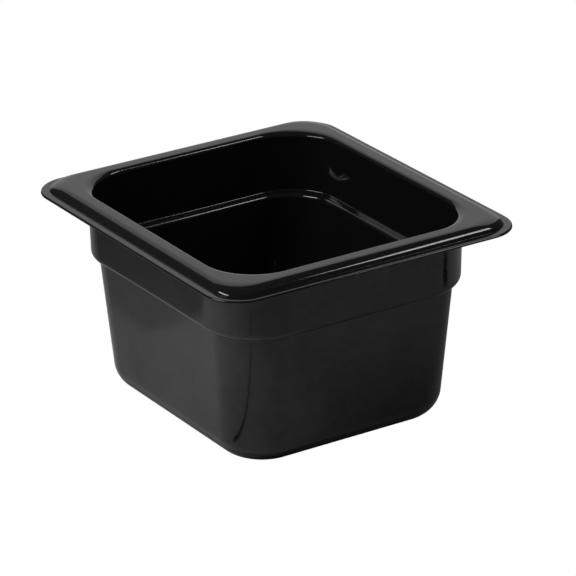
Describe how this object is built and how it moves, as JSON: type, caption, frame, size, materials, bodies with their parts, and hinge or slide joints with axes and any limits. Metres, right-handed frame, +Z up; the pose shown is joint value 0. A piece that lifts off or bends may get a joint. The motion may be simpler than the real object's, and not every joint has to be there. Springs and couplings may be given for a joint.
{
  "type": "food pan",
  "caption": "Deep rectangular food pan with a raised flat rim, a thin outer lip, a stacking step and tapered sides, moulded in glossy black plastic.",
  "frame": {"origin": "middle of the base, on the surface that the pan stands on", "axes": "+X along the rim's long side, +Y along its short side, +Z up out of the mouth"},
  "size_m": [0.176, 0.162, 0.1],
  "materials": {
    "black_plastic": "gloss"
  },
  "bodies": {
    "root": {"pan": "black_plastic"}
  },
  "joints": []
}
